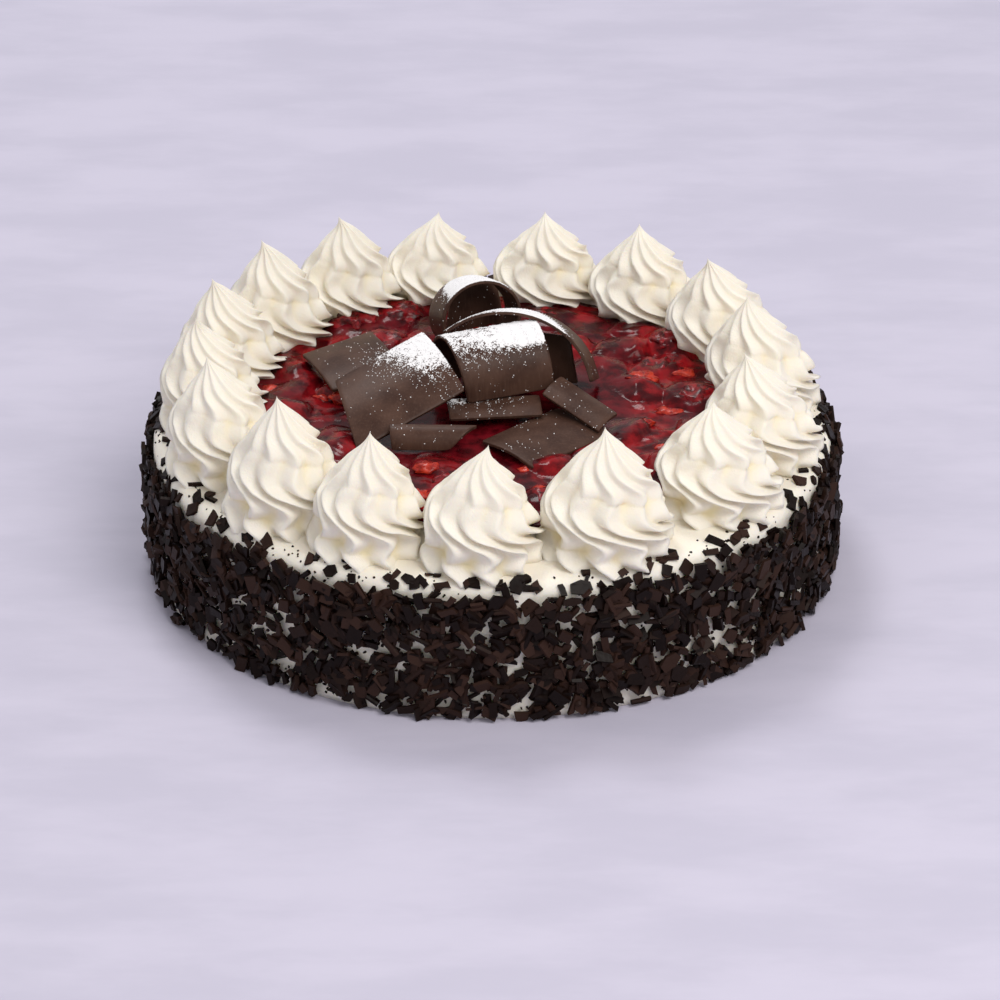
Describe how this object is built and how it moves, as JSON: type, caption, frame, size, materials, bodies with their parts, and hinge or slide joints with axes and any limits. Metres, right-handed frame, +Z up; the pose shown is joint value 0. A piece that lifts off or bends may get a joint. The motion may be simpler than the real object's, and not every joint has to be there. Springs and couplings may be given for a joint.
{
  "type": "black forest cake",
  "caption": "Round black forest cake with a flaked side, a ring of piped cream swirls, cherry compote and a pile of sugar-dusted chocolate shavings.",
  "frame": {"origin": "middle of the cake's flat base", "axes": "+Z up through the cake's middle, -Y towards the front of the pile of shavings, +X to the right"},
  "size_m": [0.2401, 0.2399, 0.0943],
  "materials": {
    "cream": "soft whipped cream, faintly yellow in the creases",
    "chocolate_flakes": "broken dark chocolate flakes, satin faces",
    "cherry_compote": "wet glossy cherry gel with fruit",
    "chocolate": "satin dark chocolate dusted with icing sugar"
  },
  "bodies": {
    "root": {"cake": "cream", "flake_coat": "chocolate_flakes", "cherry_topping": "cherry_compote", "swirl_01": "cream", "swirl_02": "cream", "swirl_03": "cream", "swirl_04": "cream", "swirl_05": "cream", "swirl_06": "cream", "swirl_07": "cream", "swirl_08": "cream", "swirl_09": "cream", "swirl_10": "cream", "swirl_11": "cream", "swirl_12": "cream", "swirl_13": "cream", "swirl_14": "cream", "swirl_15": "cream", "swirl_16": "cream", "curl_1": "chocolate", "curl_2": "chocolate", "curl_3": "chocolate", "curl_4": "chocolate", "curl_5": "chocolate", "curl_6": "chocolate", "curl_7": "chocolate", "curl_8": "chocolate", "curl_9": "chocolate", "curl_10": "chocolate", "curl_11": "chocolate"}
  },
  "joints": []
}
